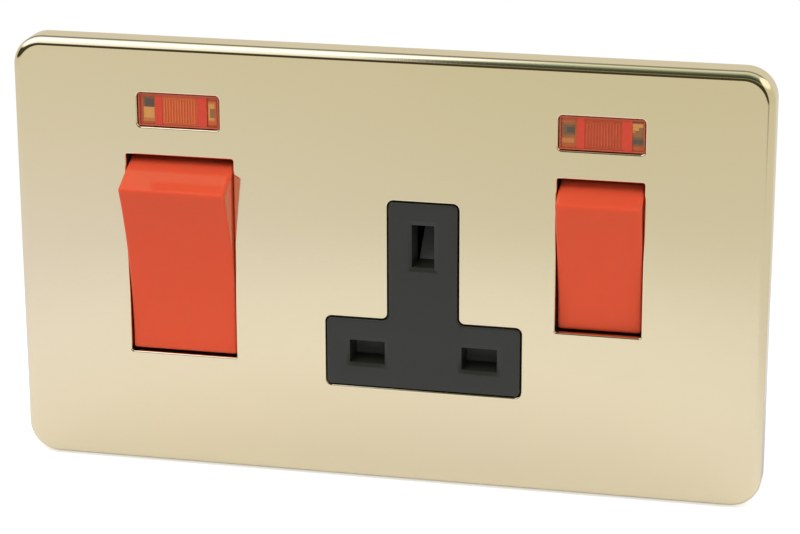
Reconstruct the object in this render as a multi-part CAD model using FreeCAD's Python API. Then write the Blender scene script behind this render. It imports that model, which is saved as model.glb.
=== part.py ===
"""Cooker control unit: a twin wall plate with a cooker switch, a switched socket and two neon lamps.

The cooker switch carries 45 A and the socket 13 A. Millimetres. X runs to the right, Z up and
Y into the wall. The wall plane is Y = 0 and the origin lies midway between the two fixing slots,
so what the user sees has negative Y.
"""
import FreeCAD, Part
import math
import os

V = FreeCAD.Vector
AXIS_X = V(1, 0, 0)
AXIS_Y = V(0, 1, 0)
AXIS_Z = V(0, 0, 1)

# Front plate: a brass sheet pressed into a shallow pan
plate_width = 148.0
plate_height = 86.3
plate_depth = 5.9
plate_corner_radius = 6.0
plate_edge_radius = 1.75
sheet_thickness = 1.0

# Cut-outs of the plate, measured from its centre
socket_x = 7.75
socket_top_z = 14.38
socket_step_z = -9.72
socket_bottom_z = -23.9
socket_stem_half = 7.02
socket_cross_half = 19.38
socket_corner_radius = 1.2
cooker_inset = 33.4
cooker_z = 0.35
cooker_hole_width = 21.6
cooker_hole_height = 40.6
switch_inset = 32.1
switch_z = 5.4
switch_hole_width = 16.65
switch_hole_height = 30.7
rocker_hole_radius = 0.4
lens_rise = 9.05
lens_width = 16.5
lens_height = 6.8
lens_corner_radius = 0.8

# Socket face
boss_proud = 0.2
boss_gap = 0.25
boss_thickness = 6.05
boss_edge_radius = 0.3
pin_spacing = 22.23
line_pin_z = -16.67
line_slot_width = 7.0
line_slot_height = 4.6
earth_slot_width = 4.45
earth_slot_height = 8.48
lead_in_side = 1.0
lead_in_end = 0.9
lead_in_depth = 0.3

# Front moulding
deck_gap = 0.4
deck_thickness = 1.8
deck_fixing_gap = 2.8
deck_lens_margin = 3.4
deck_corner_radius = 3.0
screw_notch_radius = 5.0
well_wall = 1.6
well_end_wall = 1.4
well_end_gap = 0.5
well_cheek_half = 7.9
well_cheek_depth = 4.0
well_stop = 2.1
snap_slot_half = 1.28
lamp_well_wall = 1.1
lamp_well_floor = 1.2
lamp_well_depth = 5.5
lamp_well_corner_radius = 1.0
lamp_hollow_corner_radius = 0.5
lead_hole_radius = 0.8
lead_hole_inset = 1.4
post_radius = 2.3
post_length = 12.7
pilot_radius = 1.2
pilot_skin = 2.0

# Steel yoke
yoke_gap = 0.75
yoke_sheet = 1.2
yoke_corner_radius = 4.0
fixing_inset = 13.7
fixing_slot_width = 4.0
fixing_slot_length = 6.0
fixing_pad_width = 15.0
fixing_pad_height = 13.0
pad_corner_radius = 2.0
window_gap = 0.2
hook_inset = 4.95
hook_slot_z = 24.0
hook_width = 7.0
hook_thickness = 1.4
hook_nose = 0.7
hook_gap = 0.3
hook_slot_corner_radius = 0.3

# Carrier frame bonded inside the plate
carrier_thickness = 1.2
carrier_rim = 1.6
carrier_clearance = 0.1
carrier_deck_gap = 1.4

# Rockers
pivot_depth = 9.0
rocker_tilt = 12.0
rocker_side_gap = 0.15
rocker_draft = 0.28
rocker_edge_radius = 0.6
rocker_end_slope = 13.3
rocker_skirt_top = 3.0
rocker_skirt_bottom = -2.0
rocker_wall = 1.8
rocker_crown_wall = 2.0
rocker_dish_radius = 84.0
cooker_ridge = 17.8
cooker_crown = 12.1
switch_ridge = 13.5
switch_crown = 9.9
trunnion_radius = 1.5
trunnion_length = 1.4
running_gap = 0.05

# Rocking contacts
pole_offset = 5.2
stem_width = 6.0
stem_height = 6.4
stem_length = 8.3
plunger_radius = 1.7
plunger_length = 7.0
plunger_reach = 11.5
plunger_spring_length = 7.0
plunger_spring_turns = 5
plunger_spring_wire = 0.25
tip_gap = 0.35
coil_steps = 12
coil_sides = 6
blade_width = 5.0
blade_thickness = 1.2
blade_half_length = 9.3
blade_rise = 13.0
blade_tilt = 12.0
blade_lug_radius = 2.0
fulcrum_radius = 1.0
fulcrum_height = 1.8
fulcrum_overhang = 0.5
button_radius = 1.6
button_height = 0.8
button_offset = 7.4
contact_gap = 0.15

# Conductors and terminals
bar_thickness = 1.2
bar_width = 4.0
block_width = 8.4
block_length = 7.5
block_depth = 11.5
cable_bore_radius = 3.0
cable_bore_depth = 6.2
terminal_screw_radius = 2.4
terminal_head_radius = 3.3
terminal_head_height = 1.8
terminal_slot_width = 0.9
terminal_slot_depth = 0.9
screw_tip_gap = 0.1
link_standoff = 1.4
link_thickness = 1.0
link_width = 2.8
leaf_thickness = 0.6
leaf_flare = 0.9
leaf_flare_depth = 1.5
line_grip = 3.6
line_leaf_width = 6.0
line_mouth_depth = 11.05
earth_grip = 3.6
earth_leaf_width = 7.0
earth_mouth_depth = 14.55
strap_thickness = 0.6
strap_width = 6.0
strap_end_gap = 1.0
bar_end_gap = 0.3
weld = 0.1

# Rear housing
housing_side_space = 0.2
housing_end_space = 4.15
housing_wall = 1.8
housing_floor = 2.0
housing_corner_radius = 3.0
housing_edge_radius = 0.8
partition_wall = 1.4
partition_gap = 0.6
partition_top = 0.5
slot_gap = 0.3
lug_width = 8.0
lug_height = 2.5
lug_thickness = 4.0
tower_wall = 1.2
tower_depth = 8.5
pocket_gap = 0.2
post_left_inset = 7.6
post_right_inset = 5.875
post_wall_inset = 5.2
post_floor_inset = 5.7
housing_screw_radius = 1.15
housing_screw_hole = 1.6
housing_head_radius = 2.7
housing_head_height = 1.6
housing_cross_width = 0.8
housing_cross_span = 3.2
housing_cross_depth = 1.0
housing_screw_bite = 8.7

# Shutter behind the pin apertures
shutter_gap = 0.2
shutter_thickness = 2.0
shutter_half_width = 16.4
shutter_top_cover = 0.95
shutter_bottom_cover = 1.4
shutter_travel = 5.6
shutter_stem_half = 1.9
shutter_corner_radius = 0.6
shutter_ramp_rise = 5.4
shutter_ramp_top = 1.15
shutter_rail_gap = 0.25
shutter_rail_width = 1.5
shutter_notch_half = 1.8
shutter_notch_depth = 5.4
shutter_spring_radius = 1.2
shutter_spring_wire = 0.2
shutter_spring_turns = 8

# Neon lamps and their lenses
lens_gap = 0.15
lens_recess = 0.45
lens_flange = 0.9
lens_flange_thickness = 0.35
lens_depth = 1.6
lens_edge_radius = 0.25
rib_count = 10
rib_pitch = 0.62
rib_width = 0.34
rib_depth = 0.12
rib_length = 4.8
lamp_radius = 1.9
lamp_length = 8.5
lamp_nose = 0.8
resistor_radius = 1.1
resistor_length = 6.3
resistor_nose = 0.35
lead_radius = 0.25
lead_length = 2.6
lead_spread = 0.8
well_margin = 0.2

# Places across the plate that follow from the sizes above
cooker_x = cooker_inset - plate_width / 2
switch_x = plate_width / 2 - switch_inset
lens_z = cooker_z + cooker_hole_height / 2 + lens_rise
fixing_centres = plate_width - 2 * fixing_inset
deck_width = fixing_centres - 2 * deck_fixing_gap
deck_height = 2 * (lens_z + lens_height / 2 + deck_lens_margin)
rim_depth = sheet_thickness + carrier_clearance + carrier_rim + yoke_gap
yoke_width = plate_width - 2 * rim_depth
yoke_height = plate_height - 2 * rim_depth
hook_slot_x = yoke_width / 2 - hook_inset
earth_pin_z = line_pin_z + pin_spacing
line_pin_x = socket_x + pin_spacing / 2
neutral_pin_x = socket_x - pin_spacing / 2
housing_inner_x = cooker_hole_width / 2 + well_wall + housing_side_space - cooker_x
housing_inner_z = cooker_z + cooker_hole_height / 2 + well_end_gap + well_end_wall + housing_end_space
housing_width = 2 * (housing_inner_x + housing_wall)
housing_height = 2 * (housing_inner_z + housing_wall)
left_partition_x = cooker_x + cooker_hole_width / 2 + well_wall + partition_gap
right_partition_x = switch_x - switch_hole_width / 2 - well_wall - partition_gap
post_places = [
    (left_partition_x + post_left_inset, housing_inner_z - post_wall_inset),
    (right_partition_x - post_right_inset, housing_inner_z - post_wall_inset),
    (left_partition_x + post_left_inset, post_floor_inset - housing_inner_z),
    (housing_inner_x - post_wall_inset, post_floor_inset - housing_inner_z),
]

# Levels that follow from the sizes above, from front to back
front_y = -plate_depth
sheet_back_y = front_y + sheet_thickness
boss_y = front_y - boss_proud
boss_back_y = boss_y + boss_thickness
deck_front_y = sheet_back_y + deck_gap
deck_back_y = deck_front_y + deck_thickness
yoke_front_y = deck_back_y
yoke_back_y = yoke_front_y + yoke_sheet
pivot_y = front_y + pivot_depth
blade_axis_y = pivot_y + plunger_reach + tip_gap + blade_lug_radius
bar_front_y = blade_axis_y + fulcrum_height
bar_back_y = bar_front_y + bar_thickness
floor_back_y = bar_back_y + housing_floor
block_back_y = bar_back_y + block_depth
bore_y = bar_back_y + cable_bore_depth
lens_front_y = front_y + lens_recess
lamp_floor_y = deck_front_y + lamp_well_depth
shutter_front_y = boss_back_y + shutter_gap
shutter_back_y = shutter_front_y + shutter_thickness


def box(x0, x1, y0, y1, z0, z1):
    """A box given by its lowest and highest corner."""
    return Part.makeBox(x1 - x0, y1 - y0, z1 - z0, V(x0, y0, z0))


def rod(radius, start, end):
    """A round bar between two points."""
    run = end.sub(start)
    return Part.makeCylinder(radius, run.Length, start, run)


def rounded_face(points, radii):
    """A flat face in the XZ plane whose corners are tangent arcs of the given radii."""
    count = len(points)
    corners = []
    for i in range(count):
        here = V(points[i][0], 0, points[i][1])
        before = V(points[i - 1][0], 0, points[i - 1][1])
        after = V(points[(i + 1) % count][0], 0, points[(i + 1) % count][1])
        arm_in = before.sub(here).normalize()
        arm_out = after.sub(here).normalize()
        half_angle = arm_in.getAngle(arm_out) / 2
        radius = max(radii[i], 0.01)
        reach = radius / math.tan(half_angle)
        middle = arm_in.add(arm_out).normalize().multiply(radius / math.sin(half_angle) - radius)
        start = here.add(V(arm_in).multiply(reach))
        end = here.add(V(arm_out).multiply(reach))
        corners.append((start, here.add(middle), end))
    edges = []
    for i in range(count):
        start, middle, end = corners[i]
        edges.append(Part.Arc(start, middle, end).toShape())
        following = corners[(i + 1) % count][0]
        if end.distanceToPoint(following) > 1e-6:
            edges.append(Part.LineSegment(end, following).toShape())
    return Part.Face(Part.Wire(edges))


def prism(face, y0, y1):
    """A face of the XZ plane carried from depth y0 to depth y1."""
    solid = face.extrude(V(0, y1 - y0, 0))
    solid.translate(V(0, y0, 0))
    return solid


def slab(x, z, width, height, y0, y1, radius):
    """A rectangular plate with rounded corners, centred on (x, z)."""
    w = width / 2
    h = height / 2
    points = [(x - w, z - h), (x + w, z - h), (x + w, z + h), (x - w, z + h)]
    return prism(rounded_face(points, [radius] * 4), y0, y1)


def depth_edges(solid, y, tolerance=1e-4):
    """The edges of a solid that lie in the plane at depth y."""
    found = []
    for edge in solid.Edges:
        if abs(edge.BoundBox.YMin - y) < tolerance and abs(edge.BoundBox.YMax - y) < tolerance:
            found.append(edge)
    return found


def side_profile(points, x0, x1):
    """A closed outline of (y, z) points carried along X."""
    corners = [V(x0, y, z) for y, z in points]
    face = Part.Face(Part.makePolygon(corners + corners[:1]))
    return face.extrude(V(x1 - x0, 0, 0))


def plan_profile(points, z0, z1):
    """A closed outline of (x, y) points carried along Z."""
    corners = [V(x, y, z0) for x, y in points]
    face = Part.Face(Part.makePolygon(corners + corners[:1]))
    return face.extrude(V(0, 0, z1 - z0))


def strip(points, width, y0, thickness):
    """A flat bar that follows (x, z) points, with square runs joined at its corners."""
    half = width / 2
    runs = []
    for (xa, za), (xb, zb) in zip(points, points[1:]):
        runs.append(box(min(xa, xb) - half, max(xa, xb) + half, y0, y0 + thickness,
                        min(za, zb) - half, max(za, zb) + half))
    whole = runs[0]
    for run in runs[1:]:
        whole = whole.fuse(run)
    return whole.removeSplitter()


def coil(wire, radius, length, turns, start, axis):
    """A coil spring of the given overall length, from start along axis."""
    climb = length - 2 * wire
    steps = turns * coil_steps
    rings = []
    for i in range(steps + 1):
        angle = 2 * math.pi * i / coil_steps
        out = V(math.cos(angle), math.sin(angle), 0)
        centre = V(out).multiply(radius).add(V(0, 0, wire + climb * i / steps))
        corners = []
        for j in range(coil_sides):
            turn = 2 * math.pi * j / coil_sides
            across = V(out).multiply(wire * math.cos(turn))
            corners.append(centre.add(across).add(V(0, 0, wire * math.sin(turn))))
        rings.append(Part.makePolygon(corners + corners[:1]))
    spring = Part.makeLoft(rings, True, True)
    spring.Placement = FreeCAD.Placement(start, FreeCAD.Rotation(AXIS_Z, axis))
    return spring


def fuse_all(solids):
    """One solid from several that touch or overlap."""
    return solids[0].multiFuse(solids[1:]).removeSplitter()


def cut_all(solid, tools):
    """A solid less every tool."""
    for tool in tools:
        solid = solid.cut(tool)
    return solid


def socket_outline(growth):
    """The inverted T of the socket face, grown or shrunk on every side."""
    stem = socket_stem_half + growth
    cross = socket_cross_half + growth
    top = socket_top_z + growth
    step = socket_step_z + growth
    bottom = socket_bottom_z - growth
    outer = max(socket_corner_radius + growth, 0.2)
    inner = max(socket_corner_radius - growth, 0.2)
    points = [(-cross, bottom), (cross, bottom), (cross, step), (stem, step),
              (stem, top), (-stem, top), (-stem, step), (-cross, step)]
    radii = [outer, outer, outer, inner, outer, outer, inner, outer]
    return rounded_face([(socket_x + x, z) for x, z in points], radii)


def front_plate():
    """Polished brass pan with its rolled edge, open to every part that shows through."""
    outer = slab(0, 0, plate_width, plate_height, front_y, 0, plate_corner_radius)
    outer = outer.makeFillet(plate_edge_radius, depth_edges(outer, front_y))
    inner = slab(0, 0, plate_width - 2 * sheet_thickness, plate_height - 2 * sheet_thickness,
                 sheet_back_y, 1.0, plate_corner_radius - sheet_thickness)
    inner_radius = max(plate_edge_radius - sheet_thickness, 0.1)
    inner = inner.makeFillet(inner_radius, depth_edges(inner, sheet_back_y))
    through = (front_y - 1, sheet_back_y + 0.5)
    tools = [
        inner,
        prism(socket_outline(0), *through),
        slab(cooker_x, cooker_z, cooker_hole_width, cooker_hole_height, *through, rocker_hole_radius),
        slab(switch_x, switch_z, switch_hole_width, switch_hole_height, *through, rocker_hole_radius),
    ]
    for x in (cooker_x, switch_x):
        tools.append(slab(x, lens_z, lens_width, lens_height, *through, lens_corner_radius))
    return cut_all(outer, tools)


def plate_carrier():
    """Moulded frame bonded inside the plate, with the four hooks that snap into the yoke."""
    width = plate_width - 2 * sheet_thickness - 2 * carrier_clearance
    height = plate_height - 2 * sheet_thickness - 2 * carrier_clearance
    corner = plate_corner_radius - sheet_thickness - carrier_clearance
    flange_back = sheet_back_y + carrier_thickness
    rim_back = -carrier_clearance
    frame = slab(0, 0, width, height, sheet_back_y, rim_back, corner)
    nose = max(plate_edge_radius - sheet_thickness, 0.1) + carrier_clearance
    frame = frame.makeChamfer(nose, depth_edges(frame, sheet_back_y))
    hollow = slab(0, 0, width - 2 * carrier_rim, height - 2 * carrier_rim, flange_back, 1,
                  corner - carrier_rim)
    opening = slab(0, 0, deck_width + carrier_deck_gap, deck_height + carrier_deck_gap,
                   front_y, 1, deck_corner_radius + carrier_deck_gap / 2)
    frame = cut_all(frame, [hollow, opening])
    hooks = []
    for side in (-1, 1):
        for z in (-hook_slot_z, hook_slot_z):
            inner = side * (hook_slot_x - hook_thickness / 2)
            outer = side * (hook_slot_x + hook_thickness / 2)
            nose_tip = outer + side * hook_nose
            catch = yoke_back_y + hook_gap
            points = [(inner, flange_back), (outer, flange_back), (outer, catch),
                      (nose_tip, catch), (outer, rim_back), (inner, rim_back)]
            hooks.append(plan_profile(points, z - hook_width / 2, z + hook_width / 2))
    return fuse_all([frame] + hooks)


def mounting_yoke():
    """Pressed steel tray with two dished fixing pads, the main window and the hook slots."""
    tray = slab(0, 0, yoke_width, yoke_height, yoke_front_y, 0, yoke_corner_radius)
    under = slab(0, 0, yoke_width - 2 * yoke_sheet, yoke_height - 2 * yoke_sheet, yoke_back_y, 1,
                 yoke_corner_radius - yoke_sheet)
    tray = tray.cut(under)
    for side in (-1, 1):
        x = side * fixing_centres / 2
        pad = slab(x, 0, fixing_pad_width, fixing_pad_height, yoke_front_y, 0, pad_corner_radius)
        dish = slab(x, 0, fixing_pad_width - 2 * yoke_sheet, fixing_pad_height - 2 * yoke_sheet,
                    yoke_front_y - 1, -yoke_sheet, pad_corner_radius - yoke_sheet)
        slot = slab(x, 0, fixing_slot_length, fixing_slot_width, yoke_front_y - 1, 1,
                    fixing_slot_width / 2 - 0.001)
        tray = cut_all(tray.fuse(pad), [dish, slot])
        for z in (-hook_slot_z, hook_slot_z):
            reach = hook_thickness + hook_nose + 2 * hook_gap
            middle = side * (hook_slot_x + hook_nose / 2)
            tray = tray.cut(slab(middle, z, reach, hook_width + 2 * hook_gap, yoke_front_y - 1, 1,
                                 hook_slot_corner_radius))
    window = slab(0, 0, housing_width + 2 * window_gap, housing_height + 2 * window_gap,
                  yoke_front_y - 1, 1, housing_corner_radius + window_gap)
    tray = tray.cut(window)
    for x in (cooker_x, switch_x):
        width, height = lamp_well_size(lamp_well_wall + window_gap)
        tray = tray.cut(slab(x, lens_z, width, height, yoke_front_y - 1, 1, lamp_well_corner_radius))
    return tray.removeSplitter()


def lamp_well_size(wall):
    """Width and height of the pocket behind a lens, with a wall added all round."""
    return lens_width + 2 * wall, lens_height + 2 * wall


def pin_slots():
    """Centre and half sizes of the three pin apertures."""
    return [
        (socket_x, earth_pin_z, earth_slot_width / 2, earth_slot_height / 2, lead_in_side, lead_in_side),
        (line_pin_x, line_pin_z, line_slot_width / 2, line_slot_height / 2, lead_in_side, lead_in_end),
        (neutral_pin_x, line_pin_z, line_slot_width / 2, line_slot_height / 2, lead_in_side, lead_in_end),
    ]


def rectangle(x, z, half_x, half_z, y):
    """A closed rectangular wire at depth y."""
    corners = [V(x - half_x, y, z - half_z), V(x + half_x, y, z - half_z),
               V(x + half_x, y, z + half_z), V(x - half_x, y, z + half_z)]
    return Part.makePolygon(corners + corners[:1])


def rocker_well(x, z, hole_width, hole_height):
    """Walls of the well that a rocker swings in, with the bores for its trunnions."""
    half_x = hole_width / 2
    half_z = hole_height / 2 + well_end_gap
    side_back = pivot_y + well_cheek_depth
    end_back = pivot_y - well_stop
    walls = []
    for side in (-1, 1):
        face = x + side * half_x
        back = face + side * well_wall
        wall = box(min(face, back), max(face, back), deck_back_y, side_back,
                   z - well_cheek_half, z + well_cheek_half)
        bore = rod(trunnion_radius + running_gap, V(face - side, pivot_y, z), V(back + side, pivot_y, z))
        snap = box(min(face, back) - 1, max(face, back) + 1, pivot_y, side_back + 1,
                   z - snap_slot_half, z + snap_slot_half)
        skirt = box(min(face, back), max(face, back), deck_back_y, end_back,
                    z - half_z - well_end_wall, z + half_z + well_end_wall)
        walls.append(wall.fuse(skirt).cut(bore).cut(snap))
        z0 = z + side * half_z
        z1 = z0 + side * well_end_wall
        walls.append(box(x - half_x - well_wall, x + half_x + well_wall, deck_back_y,
                         end_back, min(z0, z1), max(z0, z1)))
    return walls


def lamp_well(x):
    """Pocket behind a lens, with a hole for the lamp's leads near each end of its floor."""
    width, height = lamp_well_size(lamp_well_wall)
    well = slab(x, lens_z, width, height, deck_back_y, lamp_floor_y + lamp_well_floor,
                lamp_well_corner_radius)
    hollow = slab(x, lens_z, lens_width, lens_height, deck_back_y, lamp_floor_y, lamp_hollow_corner_radius)
    holes = []
    for side in (-1, 1):
        hole_x = x + side * (lens_width / 2 - lead_hole_inset)
        holes.append(rod(lead_hole_radius, V(hole_x, lamp_floor_y - 1, lens_z),
                         V(hole_x, lamp_floor_y + lamp_well_floor + 1, lens_z)))
    return cut_all(well, [hollow] + holes)


def front_moulding():
    """Black moulding with the socket face, both rocker wells and both lamp wells."""
    deck = slab(0, 0, deck_width, deck_height, deck_front_y, deck_back_y, deck_corner_radius)
    for side in (-1, 1):
        centre = V(side * fixing_centres / 2, deck_front_y - 1, 0)
        deck = deck.cut(Part.makeCylinder(screw_notch_radius, deck_thickness + 2, centre, AXIS_Y))
    raised = prism(socket_outline(-boss_gap), boss_y, deck_back_y)
    raised = raised.makeFillet(boss_edge_radius, depth_edges(raised, boss_y))
    backing = prism(socket_outline(well_wall), deck_back_y, boss_back_y)
    holes = [slab(cooker_x, cooker_z, cooker_hole_width, cooker_hole_height + 2 * well_end_gap,
                  deck_front_y - 1, deck_back_y + 1, rocker_hole_radius),
             slab(switch_x, switch_z, switch_hole_width, switch_hole_height + 2 * well_end_gap,
                  deck_front_y - 1, deck_back_y + 1, rocker_hole_radius)]
    for x in (cooker_x, switch_x):
        holes.append(slab(x, lens_z, lens_width, lens_height, deck_front_y - 1, deck_back_y + 1,
                          lamp_hollow_corner_radius))
    deck = cut_all(deck, holes)
    pieces = [deck, raised, backing]
    pieces += rocker_well(cooker_x, cooker_z, cooker_hole_width, cooker_hole_height)
    pieces += rocker_well(switch_x, switch_z, switch_hole_width, switch_hole_height)
    pieces += [lamp_well(cooker_x), lamp_well(switch_x)]
    for x, z in post_places:
        post = rod(post_radius, V(x, deck_back_y, z), V(x, deck_back_y + post_length, z))
        pieces.append(post)
    rail_z0 = line_pin_z - line_slot_height / 2 - shutter_bottom_cover - shutter_travel
    rail_z1 = line_pin_z + line_slot_height / 2 + shutter_top_cover
    for side in (-1, 1):
        face = socket_x + side * (shutter_half_width + shutter_rail_gap)
        back = face + side * shutter_rail_width
        pieces.append(box(min(face, back), max(face, back), boss_back_y, shutter_back_y, rail_z0, rail_z1))
    body = fuse_all(pieces)
    tools = []
    for x, z in post_places:
        tools.append(rod(pilot_radius, V(x, deck_back_y + pilot_skin, z),
                         V(x, deck_back_y + post_length + 1, z)))
    for x, z, half_x, half_z, side, end in pin_slots():
        tools.append(box(x - half_x, x + half_x, boss_y - 1, boss_back_y + 1, z - half_z, z + half_z))
        mouth = rectangle(x, z, half_x + side, half_z + end, boss_y)
        throat = rectangle(x, z, half_x, half_z, boss_y + lead_in_depth)
        tools.append(Part.makeLoft([mouth, throat], True, True))
    return cut_all(body, tools)


def terminal_places():
    """Every cable clamp: name, centre, direction of its cable and the number of bores."""
    return [
        ("line_feed", cooker_x - pole_offset, -1, 1),
        ("neutral_feed", cooker_x + pole_offset, -1, 1),
        ("line_load", cooker_x - pole_offset, 1, 1),
        ("neutral_load", cooker_x + pole_offset, 1, 1),
        ("earth", socket_x, 1, 2),
    ]


def block_span(way):
    """Lowest and highest Z of a terminal block on the upper or lower edge."""
    outer = way * (housing_inner_z - pocket_gap)
    inner = outer - way * block_length
    return min(outer, inner), max(outer, inner)


def block_half_width(bores):
    """Half width of a terminal block that holds one or two cables."""
    return block_width / 2 + (bores - 1) * pole_offset


def bore_places(x, bores):
    """X of each cable bore in a block."""
    if bores == 1:
        return [x]
    return [x - pole_offset, x + pole_offset]


def rear_housing():
    """Base moulding: a tray for the contacts, with a tower round each terminal at its back."""
    body = slab(0, 0, housing_width, housing_height, deck_back_y, floor_back_y, housing_corner_radius)
    body = body.makeFillet(housing_edge_radius, depth_edges(body, floor_back_y))
    cavity = slab(0, 0, 2 * housing_inner_x, 2 * housing_inner_z, deck_back_y - 1, bar_back_y,
                  housing_corner_radius - housing_wall)
    body = body.cut(cavity)
    additions = []
    reach = housing_inner_z + weld
    for wall_x in (left_partition_x, right_partition_x - partition_wall):
        additions.append(box(wall_x, wall_x + partition_wall, partition_top, bar_back_y + weld,
                             -reach, reach))
    for x, z in post_places:
        additions.append(rod(post_radius, V(x, deck_back_y + post_length, z), V(x, bar_back_y + weld, z)))
        if z < 0:
            continue
        for way in (-1, 1):
            edge = way * housing_height / 2
            tip = edge + way * lug_height
            root = edge - way * weld
            additions.append(box(x - lug_width / 2, x + lug_width / 2,
                                 yoke_back_y, yoke_back_y + lug_thickness, min(root, tip), max(root, tip)))
    tools = []
    for name, x, way, bores in terminal_places():
        half = block_half_width(bores) + pocket_gap
        z0, z1 = block_span(way)
        inner = z0 - pocket_gap if way > 0 else z1 + pocket_gap
        edge = way * housing_height / 2
        wall_z = inner - way * tower_wall
        side = half + tower_wall
        additions.append(box(x - side, x + side, bar_back_y + weld, floor_back_y + tower_depth,
                             min(edge, wall_z), max(edge, wall_z)))
        tools.append(box(x - half, x + half, bar_back_y - weld, floor_back_y + tower_depth + 1,
                         min(inner, way * housing_inner_z), max(inner, way * housing_inner_z)))
        tools.append(box(x - half, x + half, floor_back_y, floor_back_y + tower_depth + 1,
                         min(inner, edge + way), max(inner, edge + way)))
    for x in (cooker_x, switch_x):
        width, height = lamp_well_size(lamp_well_wall + window_gap)
        tools.append(slab(x, lens_z, width, height, deck_back_y - 1,
                          lamp_floor_y + lamp_well_floor + window_gap, lamp_well_corner_radius))
    for x, z in post_places:
        tools.append(rod(housing_screw_hole, V(x, deck_back_y, z), V(x, floor_back_y + 1, z)))
        tools.append(rod(housing_head_radius + window_gap, V(x, floor_back_y - housing_head_height, z),
                         V(x, floor_back_y + 1, z)))
    slots = conductor_slots()
    return cut_all(fuse_all([body] + additions), tools + slots)


def conductor_slots():
    """Gaps in the partition walls for the bars and the link that cross them."""
    crossings = [(line_pin_z, bar_width / 2, bar_front_y), (link_z(), link_width / 2, link_front())]
    slots = []
    for wall_x in (left_partition_x, right_partition_x - partition_wall):
        for z, half, front in crossings:
            slots.append(box(wall_x - 1, wall_x + partition_wall + 1, front - slot_gap, bar_back_y,
                             z - half - slot_gap, z + half + slot_gap))
    return slots


def link_front():
    """Depth of the front face of the line link, which bridges clear of the neutral bar."""
    return bar_front_y - link_standoff - link_thickness


def link_z():
    """Height of the line link, along the lower edge of the housing."""
    return bar_end_gap + link_width / 2 - housing_inner_z


def rocker(x, z, hole_width, ridge, crown, poles):
    """A rocker in its ON pose: a dished cap on two trunnions, with a hollow stem for each pole."""
    half = hole_width / 2 - rocker_side_gap
    slope = math.tan(math.radians(rocker_end_slope))
    skirt = ridge + (crown - rocker_skirt_top) * slope
    valley = crown - rocker_dish_radius + math.sqrt(rocker_dish_radius ** 2 - ridge ** 2)
    outline = [
        Part.LineSegment(V(0, -rocker_skirt_bottom, -skirt), V(0, -rocker_skirt_top, -skirt)),
        Part.LineSegment(V(0, -rocker_skirt_top, -skirt), V(0, -crown, -ridge)),
        Part.Arc(V(0, -crown, -ridge), V(0, -valley, 0), V(0, -crown, ridge)),
        Part.LineSegment(V(0, -crown, ridge), V(0, -rocker_skirt_top, skirt)),
        Part.LineSegment(V(0, -rocker_skirt_top, skirt), V(0, -rocker_skirt_bottom, skirt)),
        Part.LineSegment(V(0, -rocker_skirt_bottom, skirt), V(0, -rocker_skirt_bottom, -skirt)),
    ]
    face = Part.Face(Part.Wire([piece.toShape() for piece in outline]))
    cap = face.extrude(V(2 * half, 0, 0))
    cap.translate(V(-half, 0, 0))
    draft = math.degrees(math.atan(rocker_draft / crown))
    for side in (-1, 1):
        outer = side * 2 * rocker_wall
        shave = box(min(0, outer), max(0, outer), -2 * crown, 0, -2 * skirt, 2 * skirt)
        shave.rotate(V(0, 0, 0), AXIS_Z, side * draft)
        shave.translate(V(side * half, 0, 0))
        cap = cap.cut(shave)
    front_edges = [edge for edge in cap.Edges if edge.BoundBox.YMax < weld - rocker_skirt_top]
    cap = cap.makeFillet(rocker_edge_radius, front_edges)
    inside = box(-half + rocker_wall, half - rocker_wall,
                 -valley + rocker_crown_wall, -rocker_skirt_bottom + 1,
                 -skirt + rocker_wall, skirt - rocker_wall)
    cap = cap.cut(inside)
    parts = [cap]
    for side in (-1, 1):
        root = side * (half - 1)
        parts.append(rod(trunnion_radius, V(root, 0, 0), V(side * (half + trunnion_length), 0, 0)))
    for offset in poles:
        parts.append(box(offset - stem_width / 2, offset + stem_width / 2, -valley + rocker_crown_wall / 2,
                         stem_length, -stem_height / 2, stem_height / 2))
    whole = fuse_all(parts)
    for offset in poles:
        blind = plunger_reach - plunger_length - plunger_spring_length
        whole = whole.cut(rod(plunger_radius + running_gap, V(offset, blind, 0),
                              V(offset, stem_length + 1, 0)))
    return place_on_rocker(whole, x, z)


def place_on_rocker(solid, x, z):
    """Tilts a solid from the rocker's own frame to the ON pose and sets it on its pivot."""
    solid.rotate(V(0, 0, 0), AXIS_X, rocker_tilt)
    solid.translate(V(x, pivot_y, z))
    return solid


def plunger(x, z, offset):
    """Round-nosed plunger that slides in a stem of the rocker."""
    nose = plunger_reach - plunger_radius
    body = rod(plunger_radius, V(offset, plunger_reach - plunger_length, 0), V(offset, nose, 0))
    tip = Part.makeSphere(plunger_radius, V(offset, nose, 0))
    return place_on_rocker(body.fuse(tip).removeSplitter(), x, z)


def plunger_spring(x, z, offset):
    """Coil spring that pushes a plunger out of its stem."""
    start = V(offset, plunger_reach - plunger_length, 0)
    radius = plunger_radius - plunger_spring_wire - running_gap
    spring = coil(plunger_spring_wire, radius, plunger_spring_length, plunger_spring_turns, start,
                  V(0, -1, 0))
    return place_on_rocker(spring, x, z)


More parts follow.
